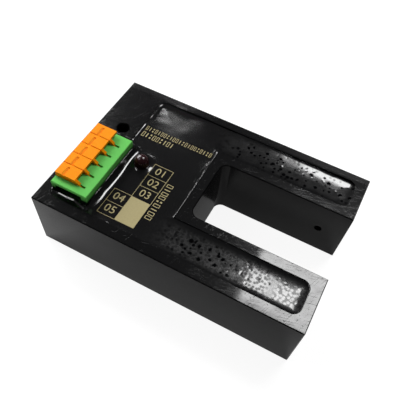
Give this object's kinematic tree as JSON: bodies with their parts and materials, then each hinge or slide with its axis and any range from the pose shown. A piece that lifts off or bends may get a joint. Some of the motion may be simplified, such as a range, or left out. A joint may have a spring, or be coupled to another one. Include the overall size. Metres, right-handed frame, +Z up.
{
  "type": "fork optical sensor",
  "caption": "Fork-shaped optical sensor: a milled block with a slot crossed by a light beam, resin-filled pocket, status lamp and spring-clamp terminal block with pressing levers.",
  "frame": {"origin": "centre of the box round the part, on the face that it rests on", "axes": "+X from the terminal block towards the open end of the fork, +Y from the emitter arm towards the receiver arm, +Z up out of the resin face"},
  "size_m": [0.096, 0.064, 0.0302],
  "materials": {
    "milled_plastic": "milled, satin",
    "black_resin": "cast, glossy",
    "board_laminate": "solder mask",
    "green_nylon": "moulded",
    "orange_nylon": "moulded",
    "spring_steel": "rolled strip",
    "tinned_brass": "tin plated",
    "red_lens": "cast clear red",
    "infrared_lens": "cast tinted",
    "dark_lens": "cast dark",
    "plug_plastic": "turned",
    "chip_case": "moulded",
    "capacitor_can": "drawn can"
  },
  "bodies": {
    "sensor_body": {"housing": "milled_plastic", "potting_resin": "black_resin", "circuit_board": "board_laminate", "terminal_housing": "green_nylon", "clamp_spring_1": "spring_steel", "clamp_spring_2": "spring_steel", "clamp_spring_3": "spring_steel", "clamp_spring_4": "spring_steel", "clamp_spring_5": "spring_steel", "contact_1": "tinned_brass", "contact_2": "tinned_brass", "contact_3": "tinned_brass", "contact_4": "tinned_brass", "contact_5": "tinned_brass", "status_lamp": "red_lens", "infrared_emitter": "infrared_lens", "infrared_receiver": "dark_lens", "emitter_bore_plug": "plug_plastic", "receiver_bore_plug": "plug_plastic", "voltage_regulator": "chip_case", "comparator": "chip_case", "output_transistor_1": "chip_case", "output_transistor_2": "chip_case", "protection_diode": "chip_case", "smoothing_capacitor": "capacitor_can", "chip_resistors": "chip_case"},
    "lever_1": {"clamp_lever_1": "orange_nylon"},
    "lever_2": {"clamp_lever_2": "orange_nylon"},
    "lever_3": {"clamp_lever_3": "orange_nylon"},
    "lever_4": {"clamp_lever_4": "orange_nylon"},
    "lever_5": {"clamp_lever_5": "orange_nylon"}
  },
  "joints": [
    {"name": "lever_1_press", "type": "hinge", "parent": "sensor_body", "child": "lever_1", "pos_m": [-0.0337, -0.02061, 0.0256], "axis": [0, -1, 0], "range_deg": [0, 5.5], "stiffness_Nm_per_rad": 0.3},
    {"name": "lever_2_press", "type": "hinge", "parent": "sensor_body", "child": "lever_2", "pos_m": [-0.0337, -0.01561, 0.0256], "axis": [0, -1, 0], "range_deg": [0, 5.5], "stiffness_Nm_per_rad": 0.3},
    {"name": "lever_3_press", "type": "hinge", "parent": "sensor_body", "child": "lever_3", "pos_m": [-0.0337, -0.01061, 0.0256], "axis": [0, -1, 0], "range_deg": [0, 5.5], "stiffness_Nm_per_rad": 0.3},
    {"name": "lever_4_press", "type": "hinge", "parent": "sensor_body", "child": "lever_4", "pos_m": [-0.0337, -0.00561, 0.0256], "axis": [0, -1, 0], "range_deg": [0, 5.5], "stiffness_Nm_per_rad": 0.3},
    {"name": "lever_5_press", "type": "hinge", "parent": "sensor_body", "child": "lever_5", "pos_m": [-0.0337, -0.00061, 0.0256], "axis": [0, -1, 0], "range_deg": [0, 5.5], "stiffness_Nm_per_rad": 0.3}
  ]
}
